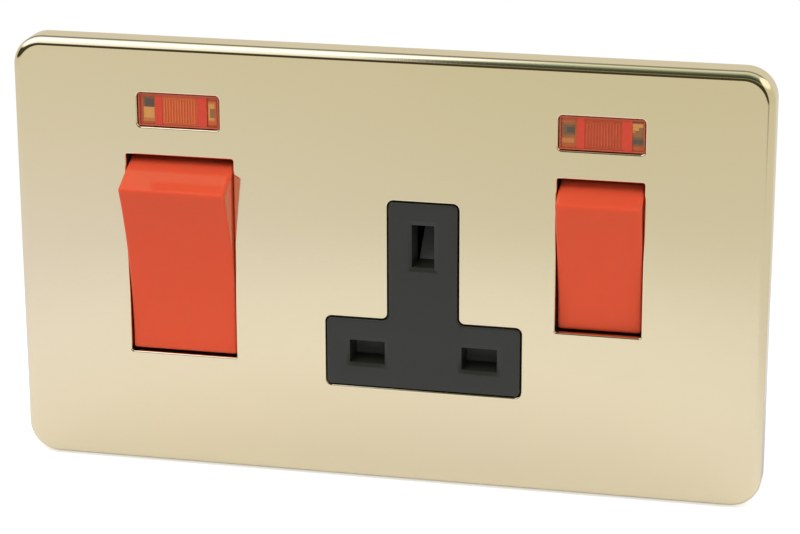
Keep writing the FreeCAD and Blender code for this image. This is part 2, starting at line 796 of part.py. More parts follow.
def blade(x, z):
    """Rocking contact in its closed pose: a shallow V of copper on a saddle, with a silver button."""
    rise = math.tan(math.radians(blade_rise))
    crest = -blade_lug_radius
    thickness = blade_thickness / math.cos(math.radians(blade_rise))
    length = blade_half_length
    wing = crest - length * rise
    points = [(crest, 0), (wing, length), (wing + thickness, length),
              (crest + thickness, 0), (wing + thickness, -length), (wing, -length)]
    wings = side_profile(points, -blade_width / 2, blade_width / 2)
    lug = rod(blade_lug_radius, V(-blade_width / 2, 0, 0), V(blade_width / 2, 0, 0))
    lug = lug.common(box(-blade_width, blade_width, -2 * blade_lug_radius, 0,
                         -2 * blade_lug_radius, 2 * blade_lug_radius))
    saddle = rod(fulcrum_radius + running_gap, V(-blade_width, 0, 0), V(blade_width, 0, 0))
    whole = wings.fuse(lug).cut(saddle)
    back = crest + thickness - button_offset * rise
    outward = V(0, 1, rise).normalize()
    root = V(0, back, button_offset).sub(V(outward).multiply(3 * weld))
    button = Part.makeCylinder(button_radius, button_height + 3 * weld, root, outward)
    whole = whole.fuse(button).removeSplitter()
    whole.rotate(V(0, 0, 0), AXIS_X, -blade_tilt)
    whole.translate(V(x, blade_axis_y, z))
    return whole


def closed_button():
    """Depth and height, from the blade's axis, of its button's face when the contact is closed."""
    rise = math.tan(math.radians(blade_rise))
    slope = math.radians(blade_rise)
    back = -blade_lug_radius + blade_thickness / math.cos(slope) - button_offset * rise
    y = back + button_height * math.cos(slope)
    z = button_offset + button_height * math.sin(slope)
    turn = math.radians(-blade_tilt)
    return y * math.cos(turn) - z * math.sin(turn), y * math.sin(turn) + z * math.cos(turn)


def fulcrum(x, z):
    """Post with a round nose that a blade rocks on."""
    width = blade_width + 2 * fulcrum_overhang
    nose = rod(fulcrum_radius, V(x - width / 2, blade_axis_y, z), V(x + width / 2, blade_axis_y, z))
    stem = box(x - width / 2, x + width / 2, blade_axis_y, bar_front_y + weld,
               z - fulcrum_radius, z + fulcrum_radius)
    return nose.fuse(stem)


def fixed_button(x, z):
    """Silver-faced fixed contact that the closed blade rests against."""
    y, height = closed_button()
    face = blade_axis_y + y + contact_gap
    return rod(button_radius, V(x, face, z + height), V(x, bar_front_y + weld, z + height))


def line_feed_bar():
    """Line bar from its terminal to the outer fulcrum of the cooker switch."""
    x = cooker_x - pole_offset
    low = bar_end_gap + bar_width / 2 - housing_inner_z
    bar = strip([(x, cooker_z), (x, low)], bar_width, bar_front_y, bar_thickness)
    return fuse_all([bar, fulcrum(x, cooker_z)])


def neutral_bar():
    """Neutral bar from its terminal to the inner fulcrum, with the branch to the socket."""
    x = cooker_x + pole_offset
    low = link_z() + link_width / 2 + bar_width / 2 + slot_gap
    bar = strip([(x, cooker_z), (x, low)], bar_width, bar_front_y, bar_thickness)
    branch = strip([(x, line_pin_z), (neutral_pin_x, line_pin_z)], bar_width, bar_front_y, bar_thickness)
    return fuse_all([bar, branch, fulcrum(x, cooker_z)])


def load_bar(offset):
    """Bar from the fixed contact of one pole of the cooker switch to its load terminal."""
    x = cooker_x + offset
    height = cooker_z + closed_button()[1]
    high = housing_inner_z - bar_width / 2 - bar_end_gap
    bar = strip([(x, height), (x, high)], bar_width, bar_front_y, bar_thickness)
    return fuse_all([bar, fixed_button(x, cooker_z)])


def line_link():
    """Bridge from the line feed bar to the socket switch, standing clear of the neutral bar."""
    z = link_z()
    half = link_width / 2
    x0 = cooker_x - pole_offset
    x1 = switch_x
    front = link_front()
    back = front + link_thickness
    left = x0 - half
    right = x1 + half
    points = [(left, front), (right, front), (right, bar_front_y),
              (right - link_thickness, bar_front_y), (right - link_thickness, back),
              (left + link_thickness, back), (left + link_thickness, bar_front_y), (left, bar_front_y)]
    return plan_profile(points, z - half, z + half)


def switch_bar():
    """Bar from the line link up to the fulcrum of the socket switch."""
    low = bar_end_gap + bar_width / 2 - housing_inner_z
    bar = strip([(switch_x, switch_z), (switch_x, low)], bar_width, bar_front_y, bar_thickness)
    return fuse_all([bar, fulcrum(switch_x, switch_z)])


def clip_leaves(x, z, grip, width, mouth_y, across_x):
    """Two spring leaves that grip a pin, standing on the bars, with a flared mouth."""
    inner = grip / 2
    outer = inner + leaf_thickness
    flare_y = mouth_y + leaf_flare_depth
    leaves = []
    for side in (-1, 1):
        points = [(side * inner, bar_front_y + weld), (side * inner, flare_y),
                  (side * (inner + leaf_flare), mouth_y), (side * (outer + leaf_flare), mouth_y),
                  (side * outer, flare_y), (side * outer, bar_front_y + weld)]
        if across_x:
            leaf = plan_profile([(x + t, y) for t, y in points], z - width / 2, z + width / 2)
        else:
            leaf = side_profile([(y, z + t) for t, y in points], x - width / 2, x + width / 2)
        leaves.append(leaf)
    return leaves


def line_contact():
    """Switched line contact of the socket, with its bar from the fixed contact of the switch."""
    height = switch_z + closed_button()[1]
    turn_x = right_partition_x + bar_width / 2 + partition_gap
    bar = strip([(switch_x, height), (turn_x, height), (turn_x, line_pin_z), (line_pin_x, line_pin_z)],
                bar_width, bar_front_y, bar_thickness)
    leaves = clip_leaves(line_pin_x, line_pin_z, line_grip, line_leaf_width,
                         boss_y + line_mouth_depth, False)
    foot = box(line_pin_x - line_leaf_width / 2, line_pin_x + line_leaf_width / 2, bar_front_y, bar_back_y,
               line_pin_z - line_grip / 2 - leaf_thickness, line_pin_z + line_grip / 2 + leaf_thickness)
    return fuse_all([bar, foot, fixed_button(switch_x, switch_z)] + leaves)


def neutral_contact():
    """Neutral contact of the socket, standing on the end of the neutral bar."""
    leaves = clip_leaves(neutral_pin_x, line_pin_z, line_grip, line_leaf_width,
                         boss_y + line_mouth_depth, False)
    foot = box(neutral_pin_x - line_leaf_width / 2, neutral_pin_x + line_leaf_width / 2,
               bar_front_y - leaf_thickness, bar_front_y,
               line_pin_z - line_grip / 2 - leaf_thickness, line_pin_z + line_grip / 2 + leaf_thickness)
    below = box(neutral_pin_x - line_leaf_width, neutral_pin_x + line_leaf_width, bar_front_y, bar_back_y,
                line_pin_z - line_leaf_width, line_pin_z + line_leaf_width)
    return fuse_all([foot] + leaves).cut(below)


def earth_contact():
    """Earth contact of the socket and its bar up to the earth terminal."""
    bar = strip([(socket_x, earth_pin_z), (socket_x, housing_inner_z - bar_width / 2 - bar_end_gap)],
                bar_width, bar_front_y, bar_thickness)
    leaves = clip_leaves(socket_x, earth_pin_z, earth_grip, earth_leaf_width,
                         boss_y + earth_mouth_depth, True)
    reach = earth_grip / 2 + leaf_thickness
    foot = box(socket_x - reach, socket_x + reach, bar_front_y, bar_back_y,
               earth_pin_z - earth_leaf_width / 2, earth_pin_z + earth_leaf_width / 2)
    return fuse_all([bar, foot] + leaves)


def terminal_block(x, way, bores):
    """Brass block with one or two cable bores along Z and a screw hole into each from the back."""
    z0, z1 = block_span(way)
    half = block_half_width(bores)
    block = box(x - half, x + half, bar_back_y, block_back_y, z0, z1)
    tools = []
    for bore_x in bore_places(x, bores):
        tools.append(rod(cable_bore_radius, V(bore_x, bore_y, z0 - 1), V(bore_x, bore_y, z1 + 1)))
        middle = (z0 + z1) / 2
        tools.append(rod(terminal_screw_radius + running_gap, V(bore_x, bore_y, middle),
                         V(bore_x, block_back_y + 1, middle)))
    return cut_all(block, tools)


def terminal_screws():
    """Slotted clamping screws, backed off so that every cable bore is clear."""
    screws = []
    for name, x, way, bores in terminal_places():
        z0, z1 = block_span(way)
        middle = (z0 + z1) / 2
        for bore_x in bore_places(x, bores):
            tip = bore_y + cable_bore_radius + screw_tip_gap
            shank = rod(terminal_screw_radius, V(bore_x, tip, middle),
                        V(bore_x, block_back_y + weld, middle))
            head_back = block_back_y + terminal_head_height
            head = rod(terminal_head_radius, V(bore_x, block_back_y, middle), V(bore_x, head_back, middle))
            reach = 2 * terminal_head_radius
            slot = box(bore_x - terminal_slot_width / 2, bore_x + terminal_slot_width / 2,
                       head_back - terminal_slot_depth, head_back + 1, middle - reach, middle + reach)
            screws.append(fuse_all([shank, head]).cut(slot))
    return Part.makeCompound(screws)


def housing_screws():
    """Four screws that hold the housing to the front moulding, clamping the yoke between them."""
    screws = []
    for x, z in post_places:
        seat = floor_back_y - housing_head_height
        tip = deck_back_y + post_length - housing_screw_bite
        shank = rod(housing_screw_radius, V(x, tip, z), V(x, seat + weld, z))
        head = rod(housing_head_radius, V(x, seat, z), V(x, floor_back_y, z))
        screw = fuse_all([shank, head])
        wide = housing_cross_span / 2
        thin = housing_cross_width / 2
        for half_x, half_z in ((wide, thin), (thin, wide)):
            screw = screw.cut(box(x - half_x, x + half_x,
                                  floor_back_y - housing_cross_depth, floor_back_y + 1,
                                  z - half_z, z + half_z))
        screws.append(screw)
    return Part.makeCompound(screws)


def earth_strap():
    """Bent strap from the earth terminal, over the housing, to the back of the yoke."""
    edge = housing_height / 2
    z1 = block_span(1)[1]
    t = strap_thickness
    rear = floor_back_y
    tab = yoke_height / 2 - yoke_sheet - strap_end_gap
    points = [(rear + t, z1), (rear, z1), (rear, edge), (yoke_back_y, edge), (yoke_back_y, tab),
              (yoke_back_y + t, tab), (yoke_back_y + t, edge + t), (rear + t, edge + t)]
    return side_profile(points, socket_x - strap_width / 2, socket_x + strap_width / 2)


def shutter():
    """Sprung shutter: a bar across the line and neutral slots and a ramp for the earth pin."""
    top = line_pin_z + line_slot_height / 2 + shutter_top_cover
    bottom = line_pin_z - line_slot_height / 2 - shutter_bottom_cover
    bar = slab(socket_x, (top + bottom) / 2, 2 * shutter_half_width, top - bottom,
               shutter_front_y, shutter_back_y, shutter_corner_radius)
    foot_z = earth_pin_z - earth_slot_height / 2
    ramp_top = foot_z + shutter_ramp_rise
    points = [(shutter_front_y, top - weld), (shutter_front_y, foot_z),
              (shutter_front_y + shutter_ramp_rise, ramp_top),
              (shutter_front_y + shutter_ramp_rise + shutter_ramp_top, ramp_top),
              (shutter_back_y, foot_z - shutter_ramp_top), (shutter_back_y, top - weld)]
    stem = side_profile(points, socket_x - shutter_stem_half, socket_x + shutter_stem_half)
    notch = box(socket_x - shutter_notch_half, socket_x + shutter_notch_half,
                shutter_front_y - 1, shutter_back_y + 1, bottom - 1, bottom + shutter_notch_depth)
    return bar.fuse(stem).removeSplitter().cut(notch)


def shutter_spring():
    """Coil spring that lifts the shutter from the lower wall of the housing."""
    bottom = line_pin_z - line_slot_height / 2 - shutter_bottom_cover
    start = V(socket_x, (shutter_front_y + shutter_back_y) / 2, -housing_inner_z)
    length = bottom + shutter_notch_depth + housing_inner_z
    return coil(shutter_spring_wire, shutter_spring_radius - shutter_spring_wire, length,
                shutter_spring_turns, start, AXIS_Z)


def neon_lens(x):
    """Clear lens with a ribbed centre, held by its flange between the plate and the deck."""
    panel = slab(x, lens_z, lens_width - 2 * lens_gap, lens_height - 2 * lens_gap,
                 lens_front_y, lens_front_y + lens_depth, lens_corner_radius - lens_gap)
    panel = panel.makeFillet(lens_edge_radius, depth_edges(panel, lens_front_y))
    flange = slab(x, lens_z, lens_width + 2 * lens_flange, lens_height + 2 * lens_flange,
                  deck_front_y - lens_flange_thickness, deck_front_y, lens_corner_radius)
    lens = panel.fuse(flange).removeSplitter()
    for i in range(rib_count + 1):
        groove_x = x + (i - rib_count / 2) * rib_pitch
        half = (rib_pitch - rib_width) / 2
        reach = rib_length / 2
        lens = lens.cut(box(groove_x - half, groove_x + half, lens_front_y - 1, lens_front_y + rib_depth,
                            lens_z - reach, lens_z + reach))
    return lens


def leads(x, y, z, half_length, spread):
    """Wires from both ends of a round body, in pairs where spread isn't nothing."""
    wires = []
    for side in (-1, 1):
        start = V(x + side * (half_length - weld), y, z + side * spread)
        end = V(x + side * (half_length + lead_length), y, z + side * spread)
        wires.append(rod(lead_radius, start, end))
    return wires


def neon_lamp(x):
    """Glass neon lamp with its leads, lying on the floor of its well."""
    y = lamp_floor_y - lamp_radius
    z = lens_z + lens_height / 2 - lamp_radius - well_margin
    half = lamp_length / 2
    glass = rod(lamp_radius, V(x - half, y, z), V(x + half, y, z))
    rims = [edge for edge in glass.Edges if edge.Closed and edge.BoundBox.XLength < weld]
    return fuse_all([glass.makeChamfer(lamp_nose, rims)] + leads(x, y, z, half, lead_spread))


def neon_resistor(x):
    """Series resistor with its leads, beside the lamp."""
    y = lamp_floor_y - resistor_radius
    z = lens_z - lens_height / 2 + resistor_radius + well_margin
    half = resistor_length / 2
    body = rod(resistor_radius, V(x - half, y, z), V(x + half, y, z))
    rims = [edge for edge in body.Edges if edge.Closed and edge.BoundBox.XLength < weld]
    return fuse_all([body.makeChamfer(resistor_nose, rims)] + leads(x, y, z, half, 0))


def build():
    """Every node of the unit, by name."""
    nodes = {
        "front_plate": front_plate(),
        "plate_carrier": plate_carrier(),
        "mounting_yoke": mounting_yoke(),
        "front_moulding": front_moulding(),
        "rear_housing": rear_housing(),
        "line_feed_bar": line_feed_bar(),
        "neutral_bar": neutral_bar(),
        "line_load_bar": load_bar(-pole_offset),
        "neutral_load_bar": load_bar(pole_offset),
        "line_link": line_link(),
        "socket_switch_bar": switch_bar(),
        "line_socket_contact": line_contact(),
        "neutral_socket_contact": neutral_contact(),
        "earth_socket_contact": earth_contact(),
        "earth_strap": earth_strap(),
        "terminal_screws": terminal_screws(),
        "housing_screws": housing_screws(),
        "pin_shutter": shutter(),
        "shutter_spring": shutter_spring(),
        "cooker_rocker": rocker(cooker_x, cooker_z, cooker_hole_width, cooker_ridge, cooker_crown,
                                (-pole_offset, pole_offset)),
        "socket_rocker": rocker(switch_x, switch_z, switch_hole_width, switch_ridge, switch_crown,
                                (0,)),
        "socket_plunger": plunger(switch_x, switch_z, 0),
        "socket_plunger_spring": plunger_spring(switch_x, switch_z, 0),
        "socket_blade": blade(switch_x, switch_z),
    }
    for name, x, way, bores in terminal_places():
        nodes[name + "_terminal"] = terminal_block(x, way, bores)
    for name, offset in (("line", -pole_offset), ("neutral", pole_offset)):
        nodes["cooker_" + name + "_plunger"] = plunger(cooker_x, cooker_z, offset)
        nodes["cooker_" + name + "_spring"] = plunger_spring(cooker_x, cooker_z, offset)
        nodes["cooker_" + name + "_blade"] = blade(cooker_x + offset, cooker_z)
    for name, x in (("cooker", cooker_x), ("socket", switch_x)):
        nodes[name + "_neon_lens"] = neon_lens(x)
        nodes[name + "_neon_lamp"] = neon_lamp(x)
        nodes[name + "_neon_resistor"] = neon_resistor(x)
    return nodes


os.makedirs("parts", exist_ok=True)
for node, shape in build().items():
    shape.exportStep("parts/" + node + ".step")
    print(node, "valid" if shape.isValid() else "NOT VALID", len(shape.Solids), round(shape.Volume, 1))
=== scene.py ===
"""Looks of a cooker control unit: brass plate, red rockers, black socket face and two lamp windows.

Metres. X runs to the right, Z up and Y into the wall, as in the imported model.
"""
import math

import bmesh
import bpy
from mathutils import Matrix, Vector


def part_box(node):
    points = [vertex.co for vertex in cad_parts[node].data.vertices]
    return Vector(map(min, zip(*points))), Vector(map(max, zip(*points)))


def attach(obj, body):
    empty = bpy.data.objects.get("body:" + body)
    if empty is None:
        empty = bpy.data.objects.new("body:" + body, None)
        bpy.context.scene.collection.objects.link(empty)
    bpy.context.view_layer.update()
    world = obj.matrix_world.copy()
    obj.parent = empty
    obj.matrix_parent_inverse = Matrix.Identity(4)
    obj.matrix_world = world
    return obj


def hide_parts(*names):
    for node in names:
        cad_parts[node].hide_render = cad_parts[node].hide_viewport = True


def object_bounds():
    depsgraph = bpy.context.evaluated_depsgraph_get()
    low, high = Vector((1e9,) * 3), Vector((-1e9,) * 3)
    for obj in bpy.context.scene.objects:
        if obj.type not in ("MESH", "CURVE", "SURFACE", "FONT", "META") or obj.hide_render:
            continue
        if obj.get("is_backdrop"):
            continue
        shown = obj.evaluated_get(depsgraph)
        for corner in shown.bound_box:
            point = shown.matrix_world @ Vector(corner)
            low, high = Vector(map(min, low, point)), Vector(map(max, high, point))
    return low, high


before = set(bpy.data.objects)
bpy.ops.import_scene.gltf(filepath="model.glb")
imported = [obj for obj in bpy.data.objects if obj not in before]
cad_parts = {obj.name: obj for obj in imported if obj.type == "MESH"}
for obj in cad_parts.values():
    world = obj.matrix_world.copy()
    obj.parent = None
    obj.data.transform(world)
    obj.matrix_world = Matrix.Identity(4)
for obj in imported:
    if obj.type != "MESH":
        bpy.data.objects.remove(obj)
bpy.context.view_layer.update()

bl_info = {
    "name": "Cooker Control Unit",
    "version": (1, 0, 0),
    "blender": (4, 5, 0),
    "location": "View3D > Sidebar > Cooker Unit",
    "description": "Gives the packed cooker control unit its plate, rockers, windows and finishes",
    "category": "Object",
}

MM = 0.001


# Material helpers

# Values between which a noise texture mostly runs
NOISE_LOW = 0.3
NOISE_HIGH = 0.7
# Depth in metres of the fine relief on the plastics, and on the polished brass
GRAIN_DEPTH = 0.0001
POLISH_DEPTH = 0.00005
# Reach of red, green and blue light in the plastics, as shares of a length in metres
SCATTER_REACH = (1.0, 0.22, 0.10)
SCATTER_LENGTH = 0.0012


def new_shader(name):
    """Material with one Principled shader, ready for the nodes that feed it."""
    material = bpy.data.materials.new(name)
    material.use_nodes = True
    tree = material.node_tree
    tree.nodes.clear()
    output = tree.nodes.new("ShaderNodeOutputMaterial")
    shader = tree.nodes.new("ShaderNodeBsdfPrincipled")
    tree.links.new(shader.outputs["BSDF"], output.inputs["Surface"])
    return material, tree, shader


def add_node(tree, kind, inputs=(), **settings):
    """Node with its settings, and its inputs set to values or linked to sockets."""
    node = tree.nodes.new(kind)
    for key, value in settings.items():
        setattr(node, key, value)
    for key, value in dict(inputs).items():
        if isinstance(value, bpy.types.NodeSocket):
            tree.links.new(value, node.inputs[key])
        else:
            node.inputs[key].default_value = value
    return node


def noise(tree, place, scale, detail=3.0):
    """Noise value over object coordinates, in features per metre."""
    node = add_node(tree, "ShaderNodeTexNoise", {"Vector": place, "Scale": scale, "Detail": detail})
    return node.outputs["Fac"]


def mapped(tree, value, low, high, to_low, to_high, smooth=False):
    """Value mapped from one range to another."""
    node = add_node(tree, "ShaderNodeMapRange", {"Value": value, "From Min": low, "From Max": high,
                                                 "To Min": to_low, "To Max": to_high})
    if smooth:
        node.interpolation_type = "SMOOTHSTEP"
    return node.outputs["Result"]


def grained(tree, value, low, high):
    """Noise value stretched to run between two others."""
    return mapped(tree, value, NOISE_LOW, NOISE_HIGH, low, high)


def rising(tree, value, low, high):
    """Share that grows softly from 0 to 1 between two values."""
    return mapped(tree, value, low, high, 0.0, 1.0, smooth=True)


def falling(tree, value, low, high):
    """Share that drops softly from 1 to 0 between two values."""
    return mapped(tree, value, low, high, 1.0, 0.0, smooth=True)


def product(tree, first, second):
    """Product of two values."""
    return add_node(tree, "ShaderNodeMath", {0: first, 1: second}, operation="MULTIPLY").outputs[0]


def blended(tree, factor, first, second):
    """Colour between two colours, each three channels or a socket."""
    inputs = {0: factor}
    for index, colour in ((6, first), (7, second)):
        inputs[index] = colour if isinstance(colour, bpy.types.NodeSocket) else (*colour, 1.0)
    return add_node(tree, "ShaderNodeMix", inputs, data_type="RGBA").outputs[2]


def surface(name, colour, roughness, metallic=0.0, grain=1500.0, spread=0.06, bump=0.0, gloss=0.5,
            tint=(1.0, 1.0, 1.0), scatter=0.0):
    """Moulded or metal surface; grain is in features per metre, spread is its share of the colour."""
    material, tree, shader = new_shader(name)
    place = add_node(tree, "ShaderNodeTexCoord").outputs["Object"]
    value = noise(tree, place, grain)
    dark = [channel * (1 - spread) for channel in colour]
    light = [min(1.0, channel * (1 + spread)) for channel in colour]
    tree.links.new(blended(tree, value, dark, light), shader.inputs["Base Color"])
    tree.links.new(grained(tree, value, roughness * 0.9, roughness * 1.1), shader.inputs["Roughness"])
    shader.inputs["Metallic"].default_value = metallic
    shader.inputs["Specular IOR Level"].default_value = gloss
    shader.inputs["Specular Tint"].default_value = (*tint, 1.0)
    shader.inputs["Subsurface Weight"].default_value = scatter
    shader.inputs["Subsurface Radius"].default_value = SCATTER_REACH
    shader.inputs["Subsurface Scale"].default_value = SCATTER_LENGTH
    if bump:
        relief = add_node(tree, "ShaderNodeBump", {"Height": value, "Strength": bump,
                                                   "Distance": GRAIN_DEPTH})
        tree.links.new(relief.outputs["Normal"], shader.inputs["Normal"])
    return material


# Painted light on the pin shutter: heights in metres between which its colour turns paler, and how much paler
# it gets
PAINTED_LIGHT_BOTTOM = -0.006
PAINTED_LIGHT_TOP = 0.006
PAINTED_LIGHT_GAIN = 3.4
SHUTTER_GRAIN = 2500.0
SHUTTER_ROUGHNESS = (0.40, 0.52)


def shutter_finish(settings):
    """Dark plastic of the pin shutter, with painted light: paler towards the top, where the slope behind the
    earth slot is lit.
    """
    material, tree, shader = new_shader("Shutter plastic")
    place = add_node(tree, "ShaderNodeTexCoord").outputs["Object"]
    height = add_node(tree, "ShaderNodeSeparateXYZ", {"Vector": place}).outputs["Z"]
    # Painted highlight: the shutter's own colour made paler towards the top, standing in for light on the
    # slope
    painted_light_colour = [channel * PAINTED_LIGHT_GAIN for channel in settings.shutter]
    share = mapped(tree, height, PAINTED_LIGHT_BOTTOM, PAINTED_LIGHT_TOP, 0.0, 1.0)
    tree.links.new(blended(tree, share, tuple(settings.shutter), painted_light_colour), shader.inputs["Base Color"])
    value = noise(tree, place, SHUTTER_GRAIN)
    tree.links.new(grained(tree, value, *SHUTTER_ROUGHNESS), shader.inputs["Roughness"])
    return material


# Mesh helpers

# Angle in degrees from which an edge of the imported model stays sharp, and the weld of its corners in metres
SHARP_ANGLE = 30.0
WELD_REACH = 0.000001


def new_object(name, data):
    """Object in the scene that shows a mesh, a light or a camera."""
    made = bpy.data.objects.new(name, data)
    bpy.context.scene.collection.objects.link(made)
    return made


def rounded_loop(width, height, radius, x, z, steps):
    """Arcs of a rounded rectangle as (centre, radius, first angle, last angle, steps), anticlockwise."""
    arcs = []
    for index, (side, end) in enumerate(((1, 1), (-1, 1), (-1, -1), (1, -1))):
        centre = (x + side * (width / 2 - radius), z + end * (height / 2 - radius))
        arcs.append((centre, radius, 90 * index, 90 * index + 90, steps))
    return arcs


def loop_points(arcs, growth):
    """Points of an outline moved outwards by growth, with the outward direction at each."""
    points = []
    for (x, z), radius, first, last, steps in arcs:
        turn = 1 if last > first else -1
        for step in range(steps + 1):
            angle = math.radians(first + (last - first) * step / steps)
            out = (turn * math.cos(angle), turn * math.sin(angle))
            reach = radius + turn * growth
            points.append(((x + reach * math.cos(angle), z + reach * math.sin(angle)), out))
    return points


class Skin:
    """Mesh under construction, with a normal for each corner of each face."""

    def __init__(self):
        self.points = []
        self.faces = []
        self.normals = []

    def ring(self, arcs, growth, y):
        """Adds one outline at a level and gives its (vertex, outward direction) list."""
        ring = []
        for (x, z), out in loop_points(arcs, growth):
            ring.append((len(self.points), out))
            self.points.append((x, y, z))
        return ring

    def band(self, first, second, tilt_first, tilt_second):
        """Faces between two rings; a tilt is (share outwards, share along Y) of the normal."""
        count = len(first)
        for index in range(count):
            corners = [(first, index, tilt_first), (first, (index + 1) % count, tilt_first),
                       (second, (index + 1) % count, tilt_second), (second, index, tilt_second)]
            self.faces.append([ring[place][0] for ring, place, tilt in corners])
            for ring, place, (outward, along) in corners:
                out = ring[place][1]
                self.normals.append(Vector((out[0] * outward, along, out[1] * outward)).normalized())

    def bands(self, rings):
        """Faces between neighbours in a list of (ring, tilt) pairs."""
        for (first, tilt_first), (second, tilt_second) in zip(rings, rings[1:]):
            self.band(first, second, tilt_first, tilt_second)

    def flat(self, rings, normal):
        """Flat face between an outer ring and the holes in it."""
        net = bmesh.new()
        number_of = {}
        edges = []
        for ring in rings:
            verts = []
            for number, out in ring:
                vert = net.verts.new(self.points[number])
                number_of[vert] = number
                verts.append(vert)
            for index, vert in enumerate(verts):
                edges.append(net.edges.new((vert, verts[(index + 1) % len(verts)])))
        made = bmesh.ops.triangle_fill(net, use_beauty=True, use_dissolve=False, edges=edges, normal=normal)
        for item in made["geom"]:
            if isinstance(item, bmesh.types.BMFace):
                numbers = [number_of[vert] for vert in item.verts]
                if item.normal.dot(normal) < 0:
                    numbers.reverse()
                self.faces.append(numbers)
                self.normals.extend([Vector(normal)] * len(numbers))
        net.free()

    def finish(self, name, material):
        """Object from the collected faces, with its corner normals."""
        mesh = bpy.data.meshes.new(name)
        mesh.from_pydata(self.points, [], self.faces)
        mesh.polygons.foreach_set("use_smooth", [True] * len(mesh.polygons))
        mesh.normals_split_custom_set(self.normals)
        mesh.materials.append(material)
        return new_object(name, mesh)


def quarter(steps):
    """Shares (sine, cosine) over a quarter turn."""
    angles = [math.pi / 2 * step / steps for step in range(steps + 1)]
    return [(math.sin(angle), math.cos(angle)) for angle in angles]


def smooth_frame_node(name, material):
    """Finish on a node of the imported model, with its curved faces shaded smooth."""
    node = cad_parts[name]
    node.data.materials.clear()
    node.data.materials.append(material)
    node.data.polygons.foreach_set("use_smooth", [True] * len(node.data.polygons))
    weld = node.modifiers.new("Weld", "WELD")
    weld.merge_threshold = WELD_REACH
    split = node.modifiers.new("Sharp edges", "EDGE_SPLIT")
    split.split_angle = math.radians(SHARP_ANGLE)
    weighted = node.modifiers.new("Flat faces first", "WEIGHTED_NORMAL")
    weighted.mode = "FACE_AREA"


# Sizes and colours that the user can change


def colour_property(name, description, default):
    """Colour setting."""
    return bpy.props.FloatVectorProperty(name=name, description=description, default=default, size=3,
                                         subtype="COLOR", min=0.0, max=1.0)


def length_property(name, description, default):
    """Length setting in metres."""
    return bpy.props.FloatProperty(name=name, description=description, default=default, min=0.0,
                                   unit="LENGTH")


class PlateSettings(bpy.types.PropertyGroup):
    """Shape and finish of the front plate."""

    corner_radius: length_property("Corner Radius", "Radius of the plate's corners", 0.006)
    edge_radius: length_property("Edge Radius", "Radius of the rolled edge", 0.00175)
    sheet: length_property("Sheet", "Thickness of the brass sheet", 0.001)
    cut_radius: length_property("Cut Radius", "Radius of the edges of the cut-outs", 0.0003)
    brass: colour_property("Brass", "Colour of the polished brass", (0.90, 0.775, 0.50))
    roughness: bpy.props.FloatProperty(name="Roughness", description="Roughness of the polish",
                                       default=0.07, min=0.0, max=1.0, subtype="FACTOR")


class MouldingSettings(bpy.types.PropertyGroup):
    """Colours of the mouldings."""

    red: colour_property("Red", "Colour of the rockers", (0.80, 0.101, 0.043))
    black: colour_property("Black", "Colour of the socket face", (0.0240, 0.0247, 0.0175))
    shutter: colour_property("Shutter", "Colour of the pin shutter", (0.085, 0.088, 0.079))


class StageSettings(bpy.types.PropertyGroup):
    """Light and floor round the unit."""

    key_power: bpy.props.FloatProperty(name="Key Power", description="Power of the soft light overhead",
                                       default=3.0, min=0.0, unit="POWER")
    sky_level: bpy.props.FloatProperty(name="Sky Level", description="Strength of the pale surroundings",
                                       default=0.68, min=0.0)


# Front plate

# Inverted T of the socket face, in millimetres from the middle of the plate
SOCKET_OUTLINE = {
    "x": 7.75,
    "top": 14.38,
    "step": -9.72,
    "bottom": -23.9,
    "stem_half": 7.02,
    "cross_half": 19.38,
    "radius": 1.2,
}
# Other cut-outs as (x, z, width, height, corner radius), in the same way
PLATE_HOLES = {
    "cooker rocker": (-40.6, 0.35, 21.6, 40.6, 0.4),
    "socket rocker": (41.9, 5.4, 16.65, 30.7, 0.4),
    "cooker window": (-40.6, 29.7, 16.5, 6.8, 0.8),
    "socket window": (41.9, 29.7, 16.5, 6.8, 0.8),
}
# Faces round a corner of the plate, a corner of a hole, the rolled edge, its inside and the edge of a hole
CORNER_STEPS = 12
HOLE_STEPS = 6
EDGE_STEPS = 10
INSIDE_STEPS = 4
CUT_STEPS = 4
# Share of its red and blue that the brass keeps where it drifts towards green
GREEN_DRIFT = 0.97
# Features per metre of that drift and of the polish, and the strength of the polish's relief
DRIFT_GRAIN = 18.0
POLISH_GRAIN = 4000.0
POLISH_RELIEF = 0.02


def socket_loop(steps):
    """Arcs of the inverted T that the socket face fills."""
    size = SOCKET_OUTLINE
    radius = size["radius"] * MM
    x = size["x"] * MM
    stem = size["stem_half"] * MM
    cross = size["cross_half"] * MM
    top = size["top"] * MM
    step = size["step"] * MM
    bottom = size["bottom"] * MM
    return [
        ((x + cross - radius, step - radius), radius, 0, 90, steps),
        ((x + stem + radius, step + radius), radius, 270, 180, steps),
        ((x + stem - radius, top - radius), radius, 0, 90, steps),
        ((x - stem + radius, top - radius), radius, 90, 180, steps),
        ((x - stem - radius, step + radius), radius, 360, 270, steps),
        ((x - cross + radius, step - radius), radius, 90, 180, steps),
        ((x - cross + radius, bottom + radius), radius, 180, 270, steps),
        ((x + cross - radius, bottom + radius), radius, 270, 360, steps),
    ]


def plate_holes():
    """Outlines of the plate's cut-outs."""
    holes = [socket_loop(HOLE_STEPS)]
    for x, z, width, height, radius in PLATE_HOLES.values():
        holes.append(rounded_loop(width * MM, height * MM, radius * MM, x * MM, z * MM, HOLE_STEPS))
    return holes


